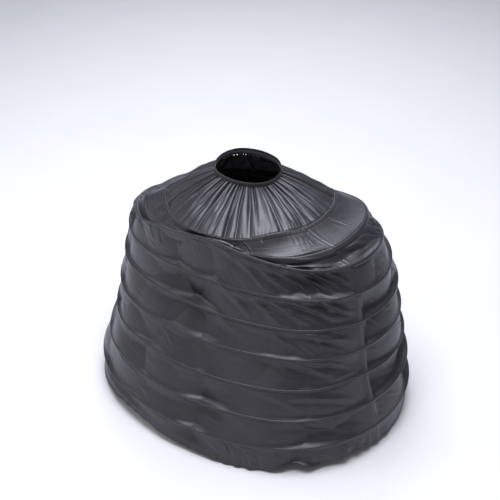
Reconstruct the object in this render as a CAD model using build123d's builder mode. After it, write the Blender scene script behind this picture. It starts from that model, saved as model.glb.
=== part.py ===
# Crinoline cage: a hooped petticoat, with nine steel hoops in sewn channels under a gathered yoke.
# Millimetres, +Z up. The origin is the middle of the waist opening, at its upper edge.
# -Y is the wearer's front and +X the wearer's left.
from build123d import *
import math
import os

os.makedirs("parts", exist_ok=True)

# Cloth and clearances
cloth = 1.8                 # the made-up cover, taken across and down
clearance = 0.3             # between pieces that lie on each other
meet_angle = 20             # degrees each side of the middle, where an oval's broad arc meets its corners

# Waistband and the elastic inside it
waist_half_width = 125
waist_front_depth = 96
waist_back_depth = 99
waist_tilt = 8              # degrees: the front hangs lower
waistband_height = 16
waistband_thickness = 3.4
elastic_height = 10.6
elastic_thickness = 1.0

# Hoop lines, top to bottom, on the outside of the cover; depths run from each hoop's widest place
hoop_half_widths = [306, 422, 503, 535, 545, 560, 575, 605, 630]
hoop_front_depths = [292, 308, 330, 344, 356, 390, 430, 470, 505]
hoop_back_depths = [278, 340, 362, 400, 425, 450, 485, 520, 535]
slack_hoop_heights = [-122, -163, -204]
slack_hoop_tilts = [-2, -3, -7]
slack_hoop_middles = [12, 20, 30]
level_hoop_middle = 30      # the level hoops are widest this far behind the waist's middle
first_level_height = -302   # the fourth hoop, the highest level one
level_hoop_spacing = 115    # every hoop below the slack ones
hem_half_width = 635
hem_front_depth = 515
hem_back_depth = 545
hem_drop = 95               # below the last hoop
side_seam_y = -100          # the side seams stand forward of the hoops' widest places

# Hoop steel, its joining sleeve, its channel and the hem's facing
steel_height = 6.5
steel_thickness = 1.6
steel_end_gap = 4
sleeve_length = 36
sleeve_wall = 0.8
channel_height = 12
channel_wall = 0.9
channel_mouth = 52          # left open at the centre back, where the steel goes in
facing_height = 22
facing_thickness = 1.2


def hoop_ring(number):
    """The oval of one hoop line, numbered from the top."""
    index = number - 1
    slack = len(slack_hoop_heights)
    if number <= slack:
        height = slack_hoop_heights[index]
        tilt = slack_hoop_tilts[index]
        middle_y = slack_hoop_middles[index]
    else:
        height = first_level_height - level_hoop_spacing * (number - slack - 1)
        tilt = 0
        middle_y = level_hoop_middle
    return {"half_width": hoop_half_widths[index], "front": hoop_front_depths[index],
            "back": hoop_back_depths[index], "middle_y": middle_y, "height": height, "tilt": tilt}


hoop_count = len(hoop_half_widths)
hoop_rings = [hoop_ring(number) for number in range(1, hoop_count + 1)]
waist_ring = {"half_width": waist_half_width, "front": waist_front_depth, "back": waist_back_depth,
              "middle_y": 0, "height": 0, "tilt": waist_tilt}
hem_ring = {"half_width": hem_half_width, "front": hem_front_depth, "back": hem_back_depth,
            "middle_y": level_hoop_middle, "height": hoop_rings[-1]["height"] - hem_drop, "tilt": 0}
cover_rings = hoop_rings + [hem_ring]


def ring_plane(ring, drop=0):
    """The plane of a ring, turned about X and moved down along its own normal."""
    lean = math.radians(ring["tilt"])
    plane = Plane(origin=(0, ring["middle_y"], ring["height"]), x_dir=(1, 0, 0),
                  z_dir=(0, -math.sin(lean), math.cos(lean)))
    return plane.offset(-drop)


def half_oval(ring, inset, way):
    """Three tangent arcs from one side round the front (way -1) or the back (way 1) to the other."""
    depth = ring["back"] if way > 0 else ring["front"]
    lean = math.tan(math.radians(meet_angle / 2))
    corner = (depth - ring["half_width"] * lean) / (1 - lean)
    reach = ring["half_width"] - corner
    broad = corner + reach / math.sin(math.radians(meet_angle))
    shift = way * (depth - broad)
    start = 0 if way > 0 else 180
    turn = 90 - meet_angle
    CenterArc((way * reach, 0), corner - inset, start, turn)
    CenterArc((0, shift), broad - inset, start + turn, 2 * meet_angle)
    CenterArc((-way * reach, 0), corner - inset, start + turn + 2 * meet_angle, turn)


def oval(ring, inset):
    """The whole oval of a ring, drawn smaller by inset."""
    half_oval(ring, inset, 1)
    half_oval(ring, inset, -1)


def oval_section(ring, inset, drop=0):
    with BuildSketch(ring_plane(ring, drop)) as section:
        with BuildLine():
            oval(ring, inset)
        make_face()
    return section.sketch


def panel_section(ring, way):
    """The part of a ring in front of the side seams (way -1) or behind them (way 1)."""
    seam = (side_seam_y - ring["middle_y"]) / math.cos(math.radians(ring["tilt"]))
    edge = seam + clearance if way > 0 else seam
    block = 4 * ring["half_width"]
    with BuildSketch(ring_plane(ring)) as section:
        with BuildLine():
            oval(ring, 0)
        make_face()
        with Locations((0, edge + way * block / 2)):
            Rectangle(block, block, mode=Mode.INTERSECT)
    return section.sketch


def band_section(ring, inset, thickness, drop=0):
    with BuildSketch(ring_plane(ring, drop)) as section:
        with BuildLine():
            oval(ring, inset)
        make_face()
        with BuildLine():
            oval(ring, inset + thickness)
        make_face(mode=Mode.SUBTRACT)
    return section.sketch


def ring_band(ring, inset, thickness, height, drop, mode=Mode.ADD):
    """An upright band along a ring; inset and drop place its outer upper edge."""
    extrude(band_section(ring, inset, thickness, drop + height), amount=height, mode=mode)


def centre_back_block(ring, length, mode):
    """A block across the centre back, for cutting a band or keeping one short stretch of it."""
    block = 2 * channel_height
    with BuildSketch(ring_plane(ring, 2 * block)) as section:
        with Locations((0, ring["back"])):
            Rectangle(length, 2 * block)
    extrude(section.sketch, amount=3 * block, mode=mode)


def save(piece, name):
    piece.part.label = name
    export_step(piece.part, "parts/" + name + ".step")


with BuildPart() as waistband:
    ring_band(waist_ring, 0, waistband_thickness, waistband_height, 0)
    ring_band(waist_ring, (waistband_thickness - elastic_thickness) / 2 - clearance,
              elastic_thickness + 2 * clearance, elastic_height + 2 * clearance,
              (waistband_height - elastic_height) / 2 - clearance, mode=Mode.SUBTRACT)
save(waistband, "waistband")

with BuildPart() as waist_elastic:
    ring_band(waist_ring, (waistband_thickness - elastic_thickness) / 2, elastic_thickness, elastic_height,
              (waistband_height - elastic_height) / 2)
save(waist_elastic, "waist_elastic")

with BuildPart() as yoke:
    # Outside, from under the waistband to just above the first hoop line, then hollowed
    gathers_drop = waistband_height + clearance
    loft([oval_section(waist_ring, 0, gathers_drop), oval_section(hoop_rings[0], 0, -clearance)], ruled=True)
    loft([oval_section(waist_ring, cloth, gathers_drop - 3 * cloth),
          oval_section(waist_ring, cloth, gathers_drop + cloth),
          oval_section(hoop_rings[0], cloth, cloth - clearance)], ruled=True, mode=Mode.SUBTRACT)
save(yoke, "yoke")


def cover_panel(way):
    """One panel of the skirt's cover, cut in one from the first hoop line to the hem."""
    with BuildPart() as panel:
        loft([panel_section(ring, way) for ring in cover_rings], ruled=True)
        hollow = [oval_section(cover_rings[0], cloth, -3 * cloth)]
        hollow += [oval_section(ring, cloth, cloth) for ring in cover_rings]
        loft(hollow, ruled=True, mode=Mode.SUBTRACT)
    return panel


skirt_front = cover_panel(-1)
save(skirt_front, "skirt_front")

skirt_back = cover_panel(1)
save(skirt_back, "skirt_back")

# Each channel hangs just inside the cover, below its hoop line
channel_inset = cloth + clearance
channel_thickness = 2 * channel_wall + 2 * clearance + steel_thickness
steel_inset = channel_inset + channel_wall + clearance
steel_drop = cloth + clearance + (channel_height - steel_height) / 2
sleeve_skin = sleeve_wall + clearance

for number, ring in enumerate(hoop_rings, start=1):
    with BuildPart() as hoop_channel:
        ring_band(ring, channel_inset, channel_thickness, channel_height, cloth + clearance)
        ring_band(ring, steel_inset - clearance, steel_thickness + 2 * clearance, steel_height + 2 * clearance,
                  steel_drop - clearance, mode=Mode.SUBTRACT)
        centre_back_block(ring, channel_mouth, Mode.SUBTRACT)
    save(hoop_channel, "hoop_channel_" + str(number))

    with BuildPart() as hoop_steel:
        ring_band(ring, steel_inset, steel_thickness, steel_height, steel_drop)
        centre_back_block(ring, steel_end_gap, Mode.SUBTRACT)
    save(hoop_steel, "hoop_steel_" + str(number))

    with BuildPart() as hoop_sleeve:
        ring_band(ring, steel_inset - sleeve_skin, steel_thickness + 2 * sleeve_skin,
                  steel_height + 2 * sleeve_skin, steel_drop - sleeve_skin)
        ring_band(ring, steel_inset - clearance, steel_thickness + 2 * clearance, steel_height + 2 * clearance,
                  steel_drop - clearance, mode=Mode.SUBTRACT)
        centre_back_block(ring, sleeve_length, Mode.INTERSECT)
    save(hoop_sleeve, "hoop_sleeve_" + str(number))


def ring_between(upper, lower, share):
    """A ring on the straight cloth between two others, share of the way down."""
    return {key: upper[key] + share * (lower[key] - upper[key]) for key in upper}


# The facing follows the cover's inner face, which lies a cloth's thickness in from the hem line and below it
facing_inset = cloth + 2 * clearance
facing_inside = facing_inset + facing_thickness
facing_foot_ring = ring_between(hoop_rings[-1], hem_ring, 1 - cloth / hem_drop)
facing_top_ring = ring_between(hoop_rings[-1], hem_ring, 1 - (facing_height + cloth) / hem_drop)
with BuildPart() as hem_facing:
    loft([oval_section(facing_top_ring, facing_inset, cloth), oval_section(facing_foot_ring, facing_inset, cloth)],
         ruled=True)
    loft([oval_section(facing_top_ring, facing_inside, cloth), oval_section(facing_foot_ring, facing_inside, cloth)],
         ruled=True, mode=Mode.SUBTRACT)
save(hem_facing, "hem_facing")
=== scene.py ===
import math

import bpy
import numpy as np
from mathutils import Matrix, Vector


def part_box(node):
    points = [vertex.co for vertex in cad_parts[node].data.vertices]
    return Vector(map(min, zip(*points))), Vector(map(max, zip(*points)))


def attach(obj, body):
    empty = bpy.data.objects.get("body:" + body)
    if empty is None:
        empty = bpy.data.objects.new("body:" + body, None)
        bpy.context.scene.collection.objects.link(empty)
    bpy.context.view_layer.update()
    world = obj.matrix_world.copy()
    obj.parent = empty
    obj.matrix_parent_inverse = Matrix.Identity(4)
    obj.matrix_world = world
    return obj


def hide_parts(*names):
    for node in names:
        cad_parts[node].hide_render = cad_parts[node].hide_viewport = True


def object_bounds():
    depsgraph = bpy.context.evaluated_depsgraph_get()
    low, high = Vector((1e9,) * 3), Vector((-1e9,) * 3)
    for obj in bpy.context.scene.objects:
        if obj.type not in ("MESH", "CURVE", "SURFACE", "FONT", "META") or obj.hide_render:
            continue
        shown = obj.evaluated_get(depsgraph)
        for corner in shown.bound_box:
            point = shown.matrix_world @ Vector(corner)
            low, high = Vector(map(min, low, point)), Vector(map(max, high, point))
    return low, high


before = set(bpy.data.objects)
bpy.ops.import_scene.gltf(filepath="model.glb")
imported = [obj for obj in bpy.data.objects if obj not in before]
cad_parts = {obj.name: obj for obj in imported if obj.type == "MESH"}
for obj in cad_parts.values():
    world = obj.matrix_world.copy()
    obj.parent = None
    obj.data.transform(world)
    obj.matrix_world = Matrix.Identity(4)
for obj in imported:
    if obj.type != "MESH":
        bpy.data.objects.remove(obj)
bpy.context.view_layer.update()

print("frame loaded")


# Small helpers for shapes
def unit(v):
    return v / np.maximum(np.linalg.norm(v, axis=-1, keepdims=True), 1e-9)


def ease(low, high, x):
    t = np.clip((x - low) / (high - low), 0, 1)
    return t * t * (3 - 2 * t)


def hump(x, middle, width):
    # a smooth bump of height 1, down to about a third at width from its middle
    return np.exp(-((x - middle) / width) ** 2)


def turned(angle):
    # the same angle, from -180 to 180
    return (angle + 180) % 360 - 180


def wander(x, y, size, seed, waves=8):
    # slow uneven waves over a cloth, about -1 to 1
    draw = np.random.default_rng(seed)
    total = 0
    for _ in range(waves):
        way = draw.uniform(0, 2 * math.pi)
        step = 2 * math.pi / (size * draw.uniform(0.7, 1.6))
        total = total + np.sin((x * math.cos(way) + y * math.sin(way)) * step + draw.uniform(0, 2 * math.pi))
    return total / math.sqrt(waves)


def makeMesh(name, points, faces, uvs=None):
    mesh = bpy.data.meshes.new(name)
    mesh.vertices.add(len(points))
    mesh.vertices.foreach_set("co", points.astype(np.float32).ravel())
    mesh.loops.add(faces.size)
    mesh.loops.foreach_set("vertex_index", faces.astype(np.int32).ravel())
    mesh.polygons.add(len(faces))
    mesh.polygons.foreach_set("loop_start", np.arange(0, faces.size, faces.shape[1], dtype=np.int32))
    mesh.update(calc_edges=True)
    for label, values in (uvs or {}).items():
        layer = mesh.uv_layers.new(name=label)
        layer.data.foreach_set("uv", values[faces.ravel()].astype(np.float32).ravel())
    mesh.polygons.foreach_set("use_smooth", np.full(len(faces), True))
    mesh.validate()
    piece = bpy.data.objects.new(name, mesh)
    bpy.context.scene.collection.objects.link(piece)
    return piece


def gridFaces(rows, columns, closed=False):
    across = np.arange(columns if closed else columns - 1)
    down = np.arange(rows - 1)
    i, j = np.meshgrid(down, across, indexing="ij")
    after = (j + 1) % columns
    return np.stack([i * columns + j, (i + 1) * columns + j,
                     (i + 1) * columns + after, i * columns + after], -1).reshape(-1, 4)


def gridNormals(grid, closed=False):
    down = np.gradient(grid, axis=0)
    if closed:
        around = np.roll(grid, -1, axis=1) - np.roll(grid, 1, axis=1)
    else:
        around = np.gradient(grid, axis=1)
    return unit(np.cross(down, around))


def farAlong(line):
    # how far each point lies along a line of points
    return np.concatenate([[0], np.cumsum(np.linalg.norm(np.diff(line, axis=0), axis=1))])


def areaOf(piece):
    return sum(face.area for face in piece.data.polygons)


# Hoop lines, read from the frame
meetAngle = 20      # degrees each side of the middle, where an oval's broad arc ends
coverOver = {"out": 0.0033, "up": 0.00485}      # the cover's hoop line, from the steel's outer upper edge


def ringFromNode(node, out=0.0, up=0.0):
    # reads a ring's oval from its outer upper edge
    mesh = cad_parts[node].data
    spots = np.empty(len(mesh.vertices) * 3, np.float32)
    mesh.vertices.foreach_get("co", spots)
    x, y, z = spots.reshape(-1, 3).astype(float).T
    middleY = float(y[x > x.max() - 1e-4].mean())
    frontZ, backZ = float(z[y < y.min() + 0.0015].max()), float(z[y > y.max() - 0.0015].max())
    slope = (backZ - frontZ) / (y.max() - y.min())
    return {"halfWidth": float(x.max()) + out, "front": float(middleY - y.min()) + out,
            "back": float(y.max() - middleY) + out, "middleY": middleY,
            "height": frontZ + slope * (middleY - float(y.min())) + up, "slope": float(slope)}


def ovalPoints(ring, psi):
    # psi is the way the outline faces: degrees from the front, positive towards the wearer's left
    phi = np.radians(psi - 90)
    isBack = np.sin(phi) > 0
    depth = np.where(isBack, ring["back"], ring["front"])
    lean = math.tan(math.radians(meetAngle / 2))
    corner = (depth - ring["halfWidth"] * lean) / (1 - lean)
    reach = ring["halfWidth"] - corner
    broad = corner + reach / math.sin(math.radians(meetAngle))
    onBroad = np.abs(np.sin(phi)) > math.cos(math.radians(meetAngle))
    x = np.where(onBroad, broad * np.cos(phi), np.sign(np.cos(phi)) * reach + corner * np.cos(phi))
    y = np.where(onBroad, np.where(isBack, 1, -1) * (depth - broad) + broad * np.sin(phi), corner * np.sin(phi))
    return np.stack([x, y + ring["middleY"], ring["height"] + ring["slope"] * y], -1)


# How the slack hoops hang, against their even CAD rings: rise, added slope from front to back, added back depth
hoopHang = {1: (0.022, 0.140, 0.022), 2: (0.021, 0.122, 0.010), 3: (0.017, 0.053, 0.0)}
# How each hoop line strays from its even oval: (bearing in degrees from the front, spread, rise in metres)
hoopLifts = {
    1: [(-35, 26, -0.017), (48, 18, 0.021), (108, 14, -0.008), (-64, 9, 0.020), (-158, 64, -0.128),
        (156, 24, -0.050)],
    2: [(-45, 14, -0.020), (-66, 8, 0.020), (10, 30, -0.004), (-150, 66, -0.130), (150, 34, -0.046),
        (-80, 16, -0.012), (100, 26, 0.006)],
    3: [(4, 26, 0.031), (62, 26, -0.018), (-48, 8, -0.014), (-120, 48, -0.085), (148, 34, -0.062),
        (-76, 12, -0.014)],
    4: [(5, 52, 0.012), (93, 12, -0.010), (-108, 26, -0.018), (132, 20, -0.016)],
    5: [(-20, 30, 0.004), (40, 20, -0.003), (100, 20, -0.004)],
    6: [(-40, 20, -0.003), (30, 30, 0.004)],
    7: [(74, 9, 0.011), (-30, 20, 0.004)],
    8: [(-43, 9, 0.014), (20, 20, 0.003)],
    9: [(10, 70, 0.008)],
    10: [(-28, 17, 0.031), (24, 13, -0.017), (47, 6, 0.024), (68, 9, 0.030), (-56, 7, -0.012),
         (140, 14, 0.010), (-175, 18, -0.008), (-135, 14, 0.012), (-90, 12, 0.008)],
}
# Where a hoop stands further out or in than its oval: (bearing, spread, metres)
hoopSpreads = {
    1: [(-95, 30, -0.010)], 2: [(-92, 30, -0.030), (112, 22, 0.006)],
    3: [(-72, 20, -0.028), (-106, 26, -0.050), (122, 22, -0.016)],
    4: [(-72, 28, -0.034), (128, 20, -0.010)], 5: [(-72, 26, -0.021), (108, 22, 0.018)],
    6: [(-72, 24, -0.016), (108, 24, 0.022)], 7: [(-70, 22, -0.015), (106, 24, 0.027)],
    8: [(-70, 17, -0.013), (106, 24, 0.020)], 9: [(106, 24, 0.013)], 10: [(106, 24, 0.005)],
}


def outwards(psi):
    return np.stack([np.sin(np.radians(psi)), -np.cos(np.radians(psi)), np.zeros_like(psi)], -1)


rings = {n: ringFromNode(f"hoop_steel_{n}", **coverOver) for n in range(1, 10)}
skirtLow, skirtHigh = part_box("skirt_back")
frontLow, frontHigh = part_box("skirt_front")
for number, (rise, slope, deeper) in hoopHang.items():
    rings[number]["height"] += rise
    rings[number]["slope"] += slope
    rings[number]["back"] += deeper
hemMiddle = rings[9]["middleY"]
rings[10] = {"halfWidth": skirtHigh.x, "front": hemMiddle - frontLow.y, "back": skirtHigh.y - hemMiddle,
             "middleY": hemMiddle, "height": skirtLow.z, "slope": 0.0}


def bearing(level, place):
    # the way to a point from its hoop's middle: degrees from the front, positive towards the wearer's left
    return np.degrees(np.arctan2(place[..., 0], rings[level]["middleY"] - place[..., 1]))


def hoopLine(level, psi):
    place = ovalPoints(rings[level], psi)
    towards = bearing(level, place)
    for angle, spread, rise in hoopLifts.get(level, []):
        place[..., 2] += rise * hump(turned(towards - angle), 0, spread)
    out = np.zeros_like(psi)
    for angle, spread, size in hoopSpreads.get(level, []):
        out = out + size * hump(turned(towards - angle), 0, spread)
    return place + outwards(psi) * out[..., None]


def alongLine(level, start, end, count):
    # points and facing angles evenly spaced along a hoop line between two facing angles
    psi = np.linspace(start, end, 2400)
    points = hoopLine(level, psi)
    far = farAlong(points)
    even = np.linspace(0, far[-1], count)
    angles = np.interp(even, far, psi)
    line = hoopLine(level, angles)
    return line, angles, even, np.degrees(np.unwrap(np.radians(bearing(level, line))))


def seamAngle(level, seamY):
    psi = np.linspace(20, 160, 2801)
    return float(np.interp(seamY, hoopLine(level, psi)[:, 1], psi))


print("hoop lines read")


# Writing shaders as sums
class Wire:
    # an output socket that shader sums can be written with
    def __init__(self, finish, socket):
        self.finish, self.socket = finish, socket

    def sum(self, operation, first, second=None):
        inputs = {0: first} if second is None else {0: first, 1: second}
        if any(isinstance(wire, Wire) and wire.socket.type in ("RGBA", "VECTOR") for wire in (first, second)):
            if not isinstance(second, (Wire, tuple)):
                inputs[1] = (second,) * 3
            return self.finish.node("ShaderNodeVectorMath", {"operation": operation}, inputs)
        return self.finish.node("ShaderNodeMath", {"operation": operation}, inputs)

    def __add__(self, other): return self.sum("ADD", self, other)
    def __radd__(self, other): return self.sum("ADD", self, other)
    def __sub__(self, other): return self.sum("SUBTRACT", self, other)
    def __rsub__(self, other): return self.sum("SUBTRACT", other, self)
    def __mul__(self, other): return self.sum("MULTIPLY", self, other)
    def __rmul__(self, other): return self.sum("MULTIPLY", self, other)
    def __truediv__(self, other): return self.sum("DIVIDE", self, other)
    def __lt__(self, other): return self.sum("LESS_THAN", self, other)
    def __abs__(self): return self.sum("ABSOLUTE", self)


class Finish:
    # a material under way
    def __init__(self, name):
        self.material = bpy.data.materials.new(name)
        self.material.use_nodes = True
        self.tree = self.material.node_tree
        self.shader = self.tree.nodes["Principled BSDF"]

    def node(self, kind, settings=None, inputs=None, output=0):
        made = self.tree.nodes.new(kind)
        for name, value in (settings or {}).items():
            setattr(made, name, value)
        for name, value in (inputs or {}).items():
            self.plug(made.inputs[name], value)
        return Wire(self, made.outputs[output])

    def plug(self, target, value):
        if isinstance(value, Wire):
            self.tree.links.new(value.socket, target)
        elif target.type == "RGBA" and len(value) == 3:
            target.default_value = (*value, 1)
        else:
            target.default_value = value

    def part(self, wire, axis):
        return self.node("ShaderNodeSeparateXYZ", None, {0: wire}, axis)

    def mixColour(self, share, first, second):
        return self.node("ShaderNodeMix", {"data_type": "RGBA"}, {0: share, 6: first, 7: second}, 2)

    def range(self, wire, low, high, toLow=0.0, toHigh=1.0):
        return self.node("ShaderNodeMapRange", None,
                         {"Value": wire, "From Min": low, "From Max": high, "To Min": toLow, "To Max": toHigh})

    def noise(self, where, scale, detail=2.0, rough=0.5):
        return self.node("ShaderNodeTexNoise", None,
                         {"Vector": where, "Scale": scale, "Detail": detail, "Roughness": rough})

    def set(self, **inputs):
        for name, value in inputs.items():
            self.plug(self.shader.inputs[name.replace("_", " ")], value)
        return self.material


# Finishes
taffetaLook = {
    "deep": (0.0076, 0.0074, 0.0092), "light": (0.0148, 0.0144, 0.0186), "thread": (0.004, 0.004, 0.005),
    "roughness": 0.46,
    "threads": 2600.0,      # radians of the rib's wave to a metre
}


def taffeta(name, look=taffetaLook, paintedLight=1.0):
    finish = Finish(name)
    cloth = finish.node("ShaderNodeUVMap", {"uv_map": "Weave"})
    across, down = finish.part(cloth, 0), finish.part(cloth, 1)
    stitch = finish.node("ShaderNodeUVMap", {"uv_map": "Stitch"})
    off = abs(finish.part(stitch, 1))
    # the fine crosswise rib and the threads that cross it
    rib = finish.node("ShaderNodeMath", {"operation": "SINE"}, {0: down * look["threads"]})
    thread = finish.node("ShaderNodeMath", {"operation": "SINE"}, {0: across * (look["threads"] * 1.3)})
    weave = rib * 0.6 + thread * 0.4
    slub = finish.noise(finish.node("ShaderNodeCombineXYZ", None, {0: across * 14.0, 1: down * 160.0}), 1.0, 3.0)
    cloud = finish.noise(cloth, 9.0, 3.0, 0.6)
    crush = finish.noise(cloth, 34.0, 4.0, 0.62)
    # puckers run out from the stitch lines and die away
    near = finish.range(off, 0.0, 0.016, 1.0, 0.0)
    pucker = finish.noise(finish.node("ShaderNodeCombineXYZ", None, {0: across * 120.0, 1: down * 26.0}), 1.0, 2.0)
    dash = finish.node("ShaderNodeMath", {"operation": "FRACT"}, {0: across * 380.0})
    sewn = (off < 0.0007) * (dash < 0.72)
    tone = finish.range(cloud * 0.6 + slub * 0.4, 0.3, 0.7)
    # both tones are scaled by a factor that paints light onto a lit copy of the same cloth
    deep = tuple(c * paintedLight for c in look["deep"])
    light = tuple(c * paintedLight for c in look["light"])
    colour = finish.mixColour(tone, deep, light)
    colour = finish.mixColour(sewn * 0.8, colour, look["thread"])
    # painted shade: within 2.6 mm of each stitch line the cloth is darkened towards the thread colour, standing in
    # for the shadow in the stitched groove
    colour = finish.mixColour(finish.range(off, 0.0002, 0.0026, 0.55, 0.0), colour, look["thread"])
    gloss = finish.range(crush * 0.5 + slub * 0.5, 0.25, 0.75, look["roughness"] - 0.05, look["roughness"] + 0.07)
    height = weave * 0.00003 + crush * 0.0004 + near * pucker * 0.0010 + sewn * -0.0003
    bump = finish.node("ShaderNodeBump", None, {"Strength": 0.75, "Distance": 1.0, "Height": height})
    return finish.set(Base_Color=colour, Roughness=gloss, Normal=bump, Specular_IOR_Level=0.62,
                      Sheen_Weight=0.24, Sheen_Roughness=0.30, Sheen_Tint=(0.66, 0.65, 0.95))


def webbing(name, dark, pale, roughness=0.75, ribs=1500.0, bumpSize=0.00012):
    # tapes, bands and elastic: ribs along, threads across
    finish = Finish(name)
    place = finish.node("ShaderNodeUVMap", {"uv_map": "Weave"})
    across, down = finish.part(place, 0), finish.part(place, 1)
    rib = finish.node("ShaderNodeMath", {"operation": "SINE"}, {0: across * ribs})
    thread = finish.node("ShaderNodeMath", {"operation": "SINE"}, {0: down * (ribs * 2.2)})
    fuzz = finish.noise(place, 900.0, 2.0)
    tone = finish.range(rib * 0.3 + thread * 0.15 + fuzz, 0.1, 1.0)
    bump = finish.node("ShaderNodeBump", None,
                       {"Strength": 0.8, "Distance": 1.0, "Height": (rib + thread * 0.5 + fuzz) * bumpSize})
    return finish.set(Base_Color=finish.mixColour(tone, dark, pale), Roughness=roughness,
                      Normal=bump, Sheen_Weight=0.15, Sheen_Roughness=0.5, Specular_IOR_Level=0.4)


def objectFinish(name, dark, pale, roughness, metallic, stretch, scale, bumpSize):
    # for pieces with no cloth map: grain stretched along one direction in the row frame
    finish = Finish(name)
    place = finish.node("ShaderNodeTexCoord", None, None, 3)
    grain = finish.noise(finish.node("ShaderNodeMapping", None, {"Vector": place, "Scale": stretch}), scale, 3.0)
    bump = finish.node("ShaderNodeBump", None, {"Strength": 0.6, "Distance": 1.0, "Height": grain * bumpSize})
    gloss = finish.range(grain, 0.3, 0.7, roughness - 0.08, roughness + 0.08)
    return finish.set(Base_Color=finish.mixColour(finish.range(grain, 0.3, 0.7), dark, pale), Roughness=gloss,
                      Metallic=metallic, Normal=bump)


taffetaCloth = taffeta("blackTaffeta")
# painted light: the yoke's copy of the taffeta is a tenth lighter, standing in for the overhead light its
# upward-facing gathers catch
yokeCloth = taffeta("gatheredTaffeta", paintedLight=1.1)
bandCloth = webbing("waistbandCloth", (0.006, 0.006, 0.007), (0.016, 0.016, 0.018), 0.7)
elasticWeb = objectFinish("elasticWebbing", (0.006, 0.006, 0.007), (0.016, 0.016, 0.018), 0.9, 0.0,
                          (1, 1, 6), 700.0, 0.0002)
channelTape = webbing("channelTape", (0.007, 0.007, 0.008), (0.020, 0.020, 0.022), 0.6)
facingTape = webbing("hemFacingTape", (0.007, 0.007, 0.008), (0.019, 0.019, 0.021), 0.62)
springSteel = objectFinish("springSteel", (0.30, 0.30, 0.32), (0.48, 0.48, 0.50), 0.36, 1.0,
                           (1, 1, 14), 300.0, 0.0001)
sleevePlastic = objectFinish("sleevePlastic", (0.55, 0.56, 0.56), (0.68, 0.69, 0.69), 0.42, 0.0,
                             (1, 1, 1), 500.0, 0.0001)
print("finishes made")


# The skirt's two panels
skirtShape = {
    "seamY": -0.100,             # both side seams lie in this plane
    "frontColumns": 372, "backColumns": 392,
    "channelHeight": 0.0130,     # between the two stitch lines of a hoop's channel
    "channelSwell": 0.0024,      # how far the channel stands out over its steel
    "stitchPull": 0.0013,        # how deep a stitch line pulls in
    "inBow": 0.0016,             # cloth between level hoops lies this far inside the straight line
    "tierRows": 14,              # rows in the plain part of a tier
    "seamCalm": 0.030,           # folds die away this near a side seam
    "facets": 60, "facetDepth": 0.0036,
    "waver": 0.0014,             # slow unevenness over the whole cloth
    "gather": 0.0005, "gatherPitch": 0.0125,    # small gathers along the stitch lines
    "seamTurn": 0.0012, "seamRidge": 0.0006,    # the edge turned in at a seam, and the ridge beside it
}
hemShape = {
    "height": 0.022, "thickness": 0.0012,
    "under": 0.0010,             # from the cover's face to the facing
    "foldUp": 0.0008,            # the facing stops this far above the hem's edge
    "ripple": 0.0012, "leftRipple": 0.0075, "backRipple": 0.0040,
}
channelRows = np.array([0, 0.8, 1.8, 3.2, 5.0, 6.5, 8.0, 9.8, 11.2, 12.2, 13.0, 14.0, 16.5]) / 1000


def tierRows(length, isLast):
    # distances down a tier: close together over the channel, even below it
    plain = np.linspace(0.021, length - 0.0035, skirtShape["tierRows"])
    rows = np.concatenate([channelRows, plain, [length - 0.0012]])
    return np.concatenate([rows, [length]]) if isLast else rows


# Single folds: tiers down from hoop 1, degrees from the front at each end, depth and half width in metres
sideFolds = [   # the long slanting folds that run down to the left side seam
    (3.14, 12, 3.98, 40, 0.0065, 0.011), (3.13, 22, 3.97, 50, 0.0095, 0.011), (3.13, 32, 3.96, 58, 0.0110, 0.011),
    (3.12, 41, 3.93, 65, 0.0120, 0.011), (3.12, 50, 3.84, 70, 0.0105, 0.010), (3.11, 59, 3.68, 73, 0.0080, 0.009),
    (4.12, 8, 4.98, 32, 0.0055, 0.012), (4.13, 18, 4.96, 45, 0.0090, 0.012), (4.12, 29, 4.93, 56, 0.0110, 0.012),
    (4.12, 41, 4.82, 67, 0.0110, 0.011), (4.11, 52, 4.62, 72, 0.0090, 0.009), (4.42, 60, 4.68, 73, 0.0060, 0.007),
    (5.15, 26, 5.90, 54, 0.0055, 0.012), (5.14, 44, 5.72, 71, 0.0080, 0.010), (5.32, 58, 5.62, 72, 0.0060, 0.008),
    (5.20, 10, 5.95, 32, 0.0040, 0.013), (6.18, 38, 6.84, 66, 0.0055, 0.011), (6.16, 54, 6.60, 71, 0.0060, 0.010),
    (7.30, 44, 7.80, 72, 0.0060, 0.011), (7.16, 28, 7.82, 52, 0.0038, 0.012), (8.20, 38, 8.72, 66, 0.0032, 0.012),
    # the collapsed bit of the flat part under the top hoop, and its few hard creases
    (1.30, 0, 1.62, 22, 0.0080, 0.012), (1.62, 4, 1.78, 26, 0.0060, 0.008), (1.10, 26, 1.85, 31, 0.0030, 0.005),
    (1.05, 36, 1.55, 39, 0.0026, 0.004), (1.08, 17, 1.60, 22, 0.0034, 0.005), (1.05, 62, 1.70, 66, 0.0024, 0.005),
    (1.10, 88, 1.80, 92, 0.0028, 0.005), (1.10, -62, 1.70, -66, 0.0030, 0.005), (1.10, -46, 1.80, -48, 0.0028, 0.005),
    # the slack between the second and third hoops
    (2.34, 40, 2.12, 84, 0.0070, 0.010), (2.60, 34, 2.40, 90, 0.0080, 0.010), (2.84, 30, 2.74, 80, 0.0060, 0.008),
    (2.20, 86, 2.86, 100, 0.0050, 0.007), (2.16, 94, 2.88, 106, 0.0055, 0.007), (2.14, 102, 2.86, 113, 0.0050, 0.007),
]
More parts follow.
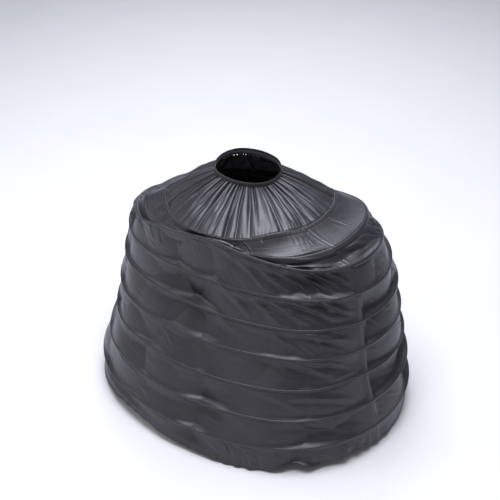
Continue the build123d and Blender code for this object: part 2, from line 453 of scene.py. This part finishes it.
# Loose small creases: tiers from and to, degrees from and to, how many, slant in degrees (0 runs round),
# length, depth and half width in metres
creaseFields = [
    (1.05, 1.95, -180, 180, 90, 86, 0.060, 0.0014, 0.0042),
    (2.10, 2.90, 30, 95, 16, 10, 0.100, 0.0030, 0.0070),
    (2.10, 2.90, 95, 300, 90, 70, 0.080, 0.0034, 0.0070),
    (3.05, 3.40, -60, 0, 26, 40, 0.045, 0.0026, 0.0045),
    (3.10, 6.00, 14, 72, 44, 30, 0.100, 0.0024, 0.0055),
    (3.50, 5.00, -95, -52, 26, 4, 0.090, 0.0034, 0.0090),
    (5.10, 8.90, -95, -55, 34, 4, 0.080, 0.0026, 0.0085),
    (3.10, 9.00, 74, 130, 90, 34, 0.060, 0.0026, 0.0055),
    (3.10, 9.00, 130, 270, 130, 28, 0.080, 0.0030, 0.0070),
    (6.00, 9.80, -50, 70, 50, 14, 0.090, 0.0018, 0.0065),
    (3.15, 9.20, -60, 75, 70, 9, 0.045, 0.0026, 0.0045),
    (9.30, 9.95, 20, 80, 24, 62, 0.050, 0.0036, 0.0060),
]
roundScale, downScale = 0.0098, 0.115       # metres per degree round, and per tier down


def foldHeights(psi, tier):
    x, y = psi * roundScale, tier * downScale
    total = np.zeros_like(psi)
    for top, fromAngle, bottom, toAngle, depth, width in sideFolds:
        total += oneFold(x, y, fromAngle * roundScale, top * downScale, toAngle * roundScale,
                         bottom * downScale, depth, width)
    draw = np.random.default_rng(21)
    for top, bottom, left, right, count, slant, length, depth, width in creaseFields:
        for _ in range(count):
            cx = draw.uniform(left, right) * roundScale
            cy = draw.uniform(top, bottom) * downScale
            way = math.radians(draw.normal(slant, 11))
            half = length * draw.uniform(0.35, 0.75)
            size = depth * draw.uniform(0.4, 1.25) * draw.choice([-0.7, 1.0])
            dx, dy = math.cos(way) * half, math.sin(way) * half
            for shift in (0, 360 * roundScale, -360 * roundScale):
                if x.min() - 0.15 < cx + shift < x.max() + 0.15:
                    close = (np.abs(x - cx - shift) < half + 0.03) & (np.abs(y - cy) < half + 0.03)
                    total[close] += oneFold(x[close], y[close], cx + shift - dx, cy - dy,
                                            cx + shift + dx, cy + dy, size, width * draw.uniform(0.7, 1.4))
    return total


def oneFold(x, y, x0, y0, x1, y1, depth, width):
    # a rounded ridge with a steeper lower side and a shallow trough below it
    length = max(math.hypot(x1 - x0, y1 - y0), 1e-6)
    ux, uy = (x1 - x0) / length, (y1 - y0) / length
    along = ((x - x0) * ux + (y - y0) * uy) / length
    bend = 0.08 * length * np.sin(np.clip(along, 0, 1) * math.pi)
    side = -(x - x0) * uy + (y - y0) * ux + bend
    taper = ease(-0.15, 0.35, along) * (1 - ease(0.60, 1.12, along))
    return depth * taper * (np.exp(-(side / width) ** 2) - 0.55 * np.exp(-((side - 1.5 * width) / width) ** 2))


def facetHeights(psi, tier, seed, count, size):
    # flat taut facets with soft edges between them, as satin pulled between hoops has
    draw = np.random.default_rng(seed)
    x, y = psi * roundScale, tier * downScale * 1.25
    best = np.full(psi.shape, 9.0)
    for _ in range(count):
        cx, cy = draw.uniform(x.min() - 0.1, x.max() + 0.1), draw.uniform(y.min() - 0.1, y.max() + 0.1)
        best = np.minimum(best, (x - cx) ** 2 + (y - cy) ** 2)
    return -size * best / 0.006


def tierShape(level, psi, share, down, length):
    # how far the cloth of one tier stands off the straight line between its hoops:
    # along its own normal, straight down, and outwards
    off = np.zeros_like(psi)
    drop = np.zeros_like(psi)
    out = np.zeros_like(psi)
    arch = np.sin(math.pi * share)
    channel = np.clip(down / skirtShape["channelHeight"], 0, 1)
    flat = 0.35 if level == 1 else 1.0      # the top hoop hardly shows through the cover
    swell = skirtShape["channelSwell"] * flat * np.sin(math.pi * channel) ** 0.55
    lowerStitch = np.exp(-((down - skirtShape["channelHeight"]) / 0.0013) ** 2)
    pull = skirtShape["stitchPull"] * (np.exp(-(down / 0.0011) ** 2) + flat * lowerStitch)
    off += swell - pull
    calm = ease(0.004, 0.024, down) * (1 - ease(length - 0.012, length, down) * 0.8)
    if level == 2:
        # slack cloth sinks behind the third hoop's standing edge
        gutter = 0.040 * hump(turned(psi - 2), 0, 42) + 0.014 * hump(turned(psi - 70), 0, 26) \
            + 0.012 * hump(turned(psi + 58), 0, 16) + 0.006
        tuck = np.sin(math.pi * share ** 1.25)
        drop += gutter * tuck
        sway = wander(psi * roundScale, share * 0.12, 0.30, 5)
        folds = np.sin(2 * math.pi * (2.3 * share + 0.30 * sway - psi / 120))
        drop += 0.0060 * folds * arch * hump(turned(psi - 38), 0, 40)
    elif level == 1:
        off -= 0.004 * arch
        drop += 0.003 * arch
    else:
        uneven = wander(psi * roundScale, np.full_like(psi, level * 0.3), 0.35, 8)
        off -= skirtShape["inBow"] * arch * (1 + 0.35 * uneven)
    if level == 9:
        # the free edge ripples, mostly towards the left side
        loose = share ** 2.2
        ripple = np.sin(2 * math.pi * (psi / 14.0 + 1.1 * wander(psi * roundScale, psi * 0, 0.42, 12)))
        out += loose * ripple * (hemShape["ripple"] + hemShape["leftRipple"] * hump(turned(psi - 52), 0, 20)
                                 + hemShape["backRipple"] * hump(turned(psi - 200), 0, 60))
        calm *= 1 - 0.8 * ease(length - 0.060, length - 0.020, down) * (1 - hump(turned(psi - 52), 0, 30))
    return off, drop, out, calm


def skirtPanel(name, side):
    columns = skirtShape["frontColumns" if side == "front" else "backColumns"]
    lines, angles, arcs, ways = {}, {}, {}, {}
    for level in range(1, 11):
        seam = seamAngle(level, skirtShape["seamY"])
        start, end = (-seam, seam) if side == "front" else (seam, 360 - seam)
        lines[level], angles[level], arcs[level], ways[level] = alongLine(level, start, end, columns)
    base, psi, around, tier, off, drop, out, calm, cloth, stitch = ([] for _ in range(10))
    clothDown = 0.0
    for level in range(1, 10):
        gap = np.linalg.norm(lines[level + 1] - lines[level], axis=1)
        length = float(gap.mean())
        rows = tierRows(length, level == 9)
        for down in rows:
            share = down / length
            way = ways[level] * (1 - share) + ways[level + 1] * share
            base.append(lines[level] * (1 - share) + lines[level + 1] * share)
            psi.append(angles[level] * (1 - share) + angles[level + 1] * share)
            around.append(way)
            tier.append(np.full(columns, level + share))
            shape = tierShape(level, way, np.full(columns, share), np.full(columns, down), length)
            for store, value in zip((off, drop, out, calm), shape):
                store.append(value)
            arc = arcs[level] * (1 - share) + arcs[level + 1] * share
            cloth.append(np.stack([arc - arc[-1] / 2, np.full(columns, -(clothDown + down))], -1))
            nearest = min((down, down - skirtShape["channelHeight"], down - length), key=abs)
            if level == 9:
                nearest = min((nearest if abs(nearest) < 0.02 else 1, down - (length - hemShape["height"])), key=abs)
            stitch.append(np.stack([arc, np.full(columns, nearest)], -1))
        clothDown += length
    base, psi, around, tier, off, drop, out, calm, cloth, stitch = (
        np.array(v) for v in (base, psi, around, tier, off, drop, out, calm, cloth, stitch))
    # the folds die away at the side seams, so the two panels' edges lie together
    edge = np.minimum(cloth[..., 0] - cloth[:, :1, 0], cloth[:, -1:, 0] - cloth[..., 0])
    calm = calm * ease(0.0, skirtShape["seamCalm"], edge)
    off = off + foldHeights(around, tier) * calm
    facets = facetHeights(around, tier, 31 if side == "front" else 32, skirtShape["facets"], skirtShape["facetDepth"])
    off = off + facets * calm * ease(2.9, 3.1, tier)
    off = off + skirtShape["waver"] * wander(around * roundScale, tier * downScale, 0.16, 41) * calm
    # small gathers along every stitch line, where the thread draws the cloth up
    draw = np.abs(stitch[..., 1])
    uneven = 3 * wander(around * roundScale, tier, 0.1, 44)
    off = off + skirtShape["gather"] * np.sin(2 * math.pi * stitch[..., 0] / skirtShape["gatherPitch"] + uneven) \
        * np.exp(-draw / 0.007) * (draw > 0.0004)
    # the seam edges turn in
    off = off - skirtShape["seamTurn"] * np.exp(-(edge / 0.0024) ** 2) \
        + skirtShape["seamRidge"] * np.exp(-((edge - 0.008) / 0.004) ** 2)
    grid = base + gridNormals(base) * off[..., None] + outwards(psi) * out[..., None]
    grid[..., 2] -= drop
    piece = makeMesh(name, grid.reshape(-1, 3), gridFaces(*grid.shape[:2]),
                     {"Weave": cloth.reshape(-1, 2), "Stitch": stitch.reshape(-1, 2)})
    piece.data.materials.append(taffetaCloth)
    hemRows = cloth[:, 0, 1] < cloth[-1, 0, 1] + hemShape["height"] + 0.001
    return piece, grid[hemRows], gridNormals(grid)[hemRows]


skirtFront, frontHem, frontFacing = skirtPanel("skirtFrontPanel", "front")
skirtBack, backHem, backFacing = skirtPanel("skirtBackPanel", "back")
for piece, node in ((skirtFront, "skirt_front"), (skirtBack, "skirt_back")):
    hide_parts(node)
    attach(piece, "root")
    print(piece.name, "area", round(areaOf(piece), 3))
print("skirt panels made")


# The gathered yoke
yokeShape = {
    "gathers": 66, "columns": 792, "rows": 96,
    "topDepth": 0.0125,         # how deep the gathers are at the band
    "sharpness": 0.0020,        # half width of a valley at the band
    "puff": 0.010,              # the yoke stands up this much above a straight line
}
waistRing = ringFromNode("waistband")
bandShape = {"height": 0.016, "thickness": 0.0034, "ribs": 210, "ribDepth": 0.00035, "columns": 1680}
bandUnder = dict(waistRing, height=waistRing["height"] - bandShape["height"] + 0.002,
                 **{side: waistRing[side] - 0.001 for side in ("halfWidth", "front", "back")})


def makeYoke():
    draw = np.random.default_rng(11)
    columns, rows = yokeShape["columns"], yokeShape["rows"]
    psi = np.linspace(0, 360, 4801)
    top, bottom = ovalPoints(bandUnder, psi), hoopLine(1, psi)

    def evenly(line):
        far = farAlong(line)
        even = np.linspace(0, far[-1], columns + 1)[:-1]
        spots = np.stack([np.interp(even, far, line[:, k]) for k in range(3)], -1)
        return spots, np.interp(even, far, psi), far[-1]

    topLine, topPsi, topLength = evenly(top)
    lowLine, lowPsi, lowLength = evenly(bottom)
    share = np.linspace(0, 1, rows) ** 1.25
    share = share[:, None] * np.ones(columns)
    turn = np.arange(columns) / columns + 0 * share
    base = topLine * (1 - share[..., None]) + lowLine * share[..., None]
    facing = topPsi * (1 - share) + lowPsi * share
    perimeter = topLength * (1 - share) + lowLength * share
    height = np.zeros_like(share)
    gathers = yokeShape["gathers"]
    places = (np.arange(gathers) + draw.uniform(-0.33, 0.33, gathers)) / gathers
    for place in places:
        reach = draw.choice([0.6, 1.0, 1.5, 2.4], p=[0.15, 0.20, 0.30, 0.35]) * draw.uniform(0.85, 1.15)
        depth = yokeShape["topDepth"] * draw.choice([0.45, 1.0, 1.35]) * draw.uniform(0.85, 1.15)
        drift = draw.normal(0, 0.0035) * share + draw.normal(0, 0.0012) * np.sin(share * draw.uniform(2, 5))
        away = np.abs((turn - place - drift + 0.5) % 1 - 0.5) * perimeter
        width = yokeShape["sharpness"] * draw.uniform(0.8, 1.3) * (1 + 1.9 * share)
        fade = np.clip(1 - share / reach, 0, 1) ** 0.65
        valley = 0.80 * np.exp(-(away / width) ** 1.3) + 0.20 * np.exp(-(away / (3.2 * width)) ** 2)
        height -= depth * fade * valley
    height += 0.0022 * (1 - share) ** 0.5
    # the last bit before the seam: small puckers drawn up by the stitching
    seam = np.exp(-(1 - share) * 0.2 / 0.018)
    height += 0.0007 * np.sin(2 * math.pi * turn * 150 + 2.2 * wander(facing * 0.02, share, 0.5, 13)) * seam
    height += 0.0016 * wander(facing * roundScale * 0.5, share * 0.2, 0.07, 14) * ease(0.1, 0.6, share) * (1 - seam)
    height *= ease(0, 0.05, share) * 0.55 + 0.45
    height -= 0.0016 * np.exp(-((1 - share) * 0.2 / 0.0016) ** 2)
    puff = yokeShape["puff"] * np.sin(math.pi * share) ** 0.8 * (1 - 0.35 * share)
    grid = base + gridNormals(base, True) * height[..., None]
    grid[..., 2] += puff
    downLength = float(np.linalg.norm(lowLine - topLine, axis=1).mean())
    # the seam column is doubled so that the cloth map isn't folded back on itself
    grid, turn, perimeter, share = (np.concatenate([v, v[:, :1]], 1) for v in (grid, turn, perimeter, share))
    turn[:, -1] = 1
    cloth = np.stack([(turn - 0.5) * lowLength, 0.3 + (1 - share) * downLength], -1)
    stitch = np.stack([turn * lowLength, (1 - share) * downLength], -1)
    piece = makeMesh("gatheredYoke", grid.reshape(-1, 3), gridFaces(rows, columns + 1),
                     {"Weave": cloth.reshape(-1, 2), "Stitch": stitch.reshape(-1, 2)})
    piece.data.materials.append(yokeCloth)
    return piece, lowLength, downLength


yoke, yokeRound, yokeDown = makeYoke()
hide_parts("yoke")
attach(yoke, "root")
print("yoke made, area", round(areaOf(yoke), 3), "round", round(yokeRound, 3), "down", round(yokeDown, 3))


def makeBand():
    psi = np.linspace(0, 360, bandShape["columns"], endpoint=False)
    outer = ovalPoints(waistRing, psi)
    h, t = bandShape["height"], bandShape["thickness"]
    section = [(-0.0005, 0), (0.0004, -0.0012), (0.0006, -0.0024), (0.0001, -0.0030), (0.0007, -0.0038),
               (0.0009, -h * 0.5), (0.0007, -h + 0.0040), (0.0001, -h + 0.0031), (0.0006, -h + 0.0024),
               (0.0004, -h + 0.001), (-0.0006, -h),
               (-t * 0.5, -h - 0.0003), (-t, -h + 0.0008), (-t - 0.0002, -h * 0.5), (-t, -0.0008), (-t * 0.5, 0.0003)]
    ribs = bandShape["ribDepth"] * np.sin(np.radians(psi) * bandShape["ribs"] + 1.5 * np.sin(np.radians(psi) * 17))
    rows, cloth = [], []
    far = 0.0
    last = None
    for k, (out, up) in enumerate(section):
        shift = out + (ribs if 0 < k < 10 else 0)
        rows.append(outer + outwards(psi) * (shift + np.zeros_like(psi))[:, None] + np.array([0, 0, up]))
        if last is not None:
            far += math.hypot(out - last[0], up - last[1])
        last = (out, up)
        cloth.append(np.stack([psi / 360 * 0.71, np.full_like(psi, far)], -1))
    grid = np.array(rows)
    count = len(section)
    faces = gridFaces(count, len(psi), True)
    ends = np.arange(len(psi))
    closing = np.stack([(count - 1) * len(psi) + ends, ends, (ends + 1) % len(psi),
                        (count - 1) * len(psi) + (ends + 1) % len(psi)], -1)
    piece = makeMesh("waistband", grid.reshape(-1, 3), np.concatenate([faces, closing]),
                     {"Weave": np.array(cloth).reshape(-1, 2)})
    piece.data.materials.append(bandCloth)
    return piece


waistband = makeBand()
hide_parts("waistband")
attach(waistband, "root")
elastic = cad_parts["waist_elastic"]
elastic.data.materials.clear()
elastic.data.materials.append(elasticWeb)
print("waistband made")


# Channels, hoops and joining sleeves inside the cover
hoopShape = {
    "tapeInset": 0.0030, "tapeThickness": 0.0034, "tapeHeight": 0.012, "tapeSwell": 0.0004, "mouth": 0.052,
    "steelInset": 0.0041, "steelHeight": 0.0065, "steelThickness": 0.0016, "steelGap": 0.004,
    "sleeveInset": 0.0032, "sleeveLength": 0.036, "sleeveSwell": 0.0003,
    "sleeveOver": 0.0018,       # a sleeve is this much thicker and higher than its steel
    "middleDown": 0.0080,       # from the hoop line to the middle of the steel
    "columns": 361, "sleeveColumns": 13,
}


def sweepSection(name, level, section, start, end, columns, material):
    # carries a closed section of (out, up) points along a hoop line and caps its two ends
    psi = np.linspace(start, end, columns)
    line = hoopLine(level, psi)
    far = farAlong(line)
    grid = np.array([line + outwards(psi) * out + np.array([0, 0, up]) for out, up in section])
    steps = [math.hypot(a[0] - b[0], a[1] - b[1]) for a, b in zip(section, section[1:])]
    around = np.concatenate([[0], np.cumsum(steps)])
    cloth = np.array([np.stack([far, np.full(columns, v)], -1) for v in around])
    count = len(section)
    faces = gridFaces(count, columns)
    ends = np.arange(columns - 1)
    closing = np.stack([(count - 1) * columns + ends, ends, ends + 1, (count - 1) * columns + ends + 1], -1)
    half = count // 2
    caps = []
    for column, flip in ((0, False), (columns - 1, True)):
        for k in range(half - 1):
            quad = [k * columns + column, (k + 1) * columns + column,
                    (count - 2 - k) * columns + column, (count - 1 - k) * columns + column]
            caps.append(quad[::-1] if flip else quad)
    piece = makeMesh(name, grid.reshape(-1, 3), np.concatenate([faces, closing, np.array(caps)]),
                     {"Weave": cloth.reshape(-1, 2)})
    piece.data.materials.append(material)
    edges = piece.modifiers.new("soft edges", "EDGE_SPLIT")
    edges.split_angle = math.radians(50)
    return piece


def roundedSection(outer, middle, thickness, height, swell=0.0):
    # a flat strip standing on edge; outer is its outer face, counted outwards from the hoop line
    h, t = height / 2, thickness
    inner = outer - t
    return [(outer - t * 0.25, middle + h), (outer, middle + h * 0.80), (outer + swell, middle),
            (outer, middle - h * 0.80), (outer - t * 0.25, middle - h), (outer - t * 0.75, middle - h),
            (inner, middle - h * 0.80),
            (inner - swell, middle), (inner, middle + h * 0.80), (outer - t * 0.75, middle + h)]


def halfAngle(level, length):
    # degrees each side of the centre back that a length takes up
    return math.degrees(length / 2 / rings[level]["back"]) * 0.8


for level in range(1, 10):
    middle = -hoopShape["middleDown"]
    mouth, gap, grip = (halfAngle(level, hoopShape[key]) for key in ("mouth", "steelGap", "sleeveLength"))
    tapeSection = roundedSection(-hoopShape["tapeInset"], middle, hoopShape["tapeThickness"],
                                 hoopShape["tapeHeight"], hoopShape["tapeSwell"])
    steelSection = roundedSection(-hoopShape["steelInset"], middle, hoopShape["steelThickness"],
                                  hoopShape["steelHeight"])
    sleeveSection = roundedSection(-hoopShape["sleeveInset"], middle,
                                   hoopShape["steelThickness"] + hoopShape["sleeveOver"],
                                   hoopShape["steelHeight"] + hoopShape["sleeveOver"], hoopShape["sleeveSwell"])
    tape = sweepSection(f"hoopChannel{level}", level, tapeSection, -180 + mouth, 180 - mouth,
                        hoopShape["columns"], channelTape)
    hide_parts(f"hoop_channel_{level}")
    steel = sweepSection(f"hoopSteel{level}", level, steelSection, -180 + gap, 180 - gap,
                         hoopShape["columns"], springSteel)
    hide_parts(f"hoop_steel_{level}")
    sleeve = sweepSection(f"joiningSleeve{level}", level, sleeveSection, 180 - grip, 180 + grip,
                          hoopShape["sleeveColumns"], sleevePlastic)
    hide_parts(f"hoop_sleeve_{level}")
    for piece in (tape, steel, sleeve):
        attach(piece, "root")
print("hoops made")


def makeFacing():
    # a tape inside the hem that follows the two panels' lowest rows
    rows = min(len(frontHem), len(backHem))
    line = np.concatenate([frontHem[-rows:, 1:-1], backHem[-rows:, 1:-1]], 1)
    out = np.concatenate([frontFacing[-rows:, 1:-1], backFacing[-rows:, 1:-1]], 1)
    outer = line - out * hemShape["under"]
    inner = line - out * (hemShape["under"] + hemShape["thickness"])
    outer[-1, :, 2] += hemShape["foldUp"]
    inner[-1, :, 2] += hemShape["foldUp"]
    grid = np.concatenate([outer, inner[::-1]])
    columns = grid.shape[1]
    steps = np.linalg.norm(np.roll(line[-1], -1, 0) - line[-1], axis=1)
    far = np.concatenate([[0], np.cumsum(steps)[:-1]])
    down = np.concatenate([np.linspace(0, hemShape["height"], rows), np.linspace(hemShape["height"], 0, rows)])
    cloth = np.stack(np.broadcast_arrays(far[None, :], down[:, None]), -1)
    corners = gridFaces(len(grid) + 1, columns, True) % (len(grid) * columns)   # the last row joins the first
    piece = makeMesh("hemFacing", grid.reshape(-1, 3), corners, {"Weave": cloth.reshape(-1, 2)})
    piece.data.materials.append(facingTape)
    return piece


facing = makeFacing()
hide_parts("hem_facing")
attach(facing, "root")
print("hem facing made")


# Floor, lights and camera
studio = {
    "cameraPlace": (1.545, -2.556, 1.724), "cameraTurn": (55, 0, 31), "lens": 70,
    "sky": 0.24, "skyColour": (0.93, 0.95, 1.0),
    "floorColour": (0.66, 0.66, 0.665), "floorDrop": 0.004, "floorReach": 12,
    "lights": [     # name, place, what it points at, size, watts, colour
        ("topSoftbox", (0.15, -0.35, 3.3), (0, -0.1, -0.2), (2.8, 2.8), 270, (0.90, 0.91, 1.0)),
        ("backSoftbox", (-2.0, 3.4, 2.7), (0, 0, -0.2), (3.2, 2.2), 110, (0.88, 0.91, 1.0)),
        ("leftFill", (-3.6, -2.6, 1.5), (0, 0, -0.5), (1.6, 1.8), 45, (1, 1, 1)),
        ("frontFill", (0.4, -4.8, 0.4), (0, 0, -0.6), (1.6, 0.8), 20, (1, 1, 1)),
    ],
}


def makeFloor():
    low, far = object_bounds()[0][2] - studio["floorDrop"], studio["floorReach"]
    corners = np.array([(-far, -far, low), (far, -far, low), (far, far, low), (-far, far, low)])
    floor = makeMesh("studioFloor", corners, np.array([[0, 1, 2, 3]]))
    finish = Finish("floorPaint")
    place = finish.node("ShaderNodeTexCoord", None, None, 3)
    tone = finish.range(finish.noise(place, 3.0), 0.3, 0.7)
    colour = studio["floorColour"]
    floor.data.materials.append(finish.set(
        Base_Color=finish.mixColour(tone, colour, tuple(c * 1.02 for c in colour)), Roughness=0.9))


def makeLight(name, place, aim, size, power, colour):
    lamp = bpy.data.lights.new(name, "AREA")
    lamp.shape, lamp.size, lamp.size_y = "RECTANGLE", size[0], size[1]
    lamp.energy, lamp.color = power, colour
    stand = bpy.data.objects.new(name, lamp)
    stand.location = place
    way = np.array(aim, float) - np.array(place, float)
    stand.rotation_euler = Vector(way).to_track_quat("-Z", "Y").to_euler()
    bpy.context.scene.collection.objects.link(stand)


def makeStudio():
    scene = bpy.context.scene
    scene.view_settings.view_transform = "Standard"
    world = bpy.data.worlds.new("studio")
    world.use_nodes = True
    sky = world.node_tree.nodes["Background"]
    sky.inputs["Color"].default_value = (*studio["skyColour"], 1)
    sky.inputs["Strength"].default_value = studio["sky"]
    scene.world = world
    for light in studio["lights"]:
        makeLight(*light)
    lens = bpy.data.cameras.new("camera")
    lens.lens, lens.sensor_width = studio["lens"], 36
    camera = bpy.data.objects.new("camera", lens)
    camera.location = studio["cameraPlace"]
    camera.rotation_euler = [math.radians(a) for a in studio["cameraTurn"]]
    scene.collection.objects.link(camera)
    scene.camera = camera


makeFloor()
makeStudio()
print("studio made")
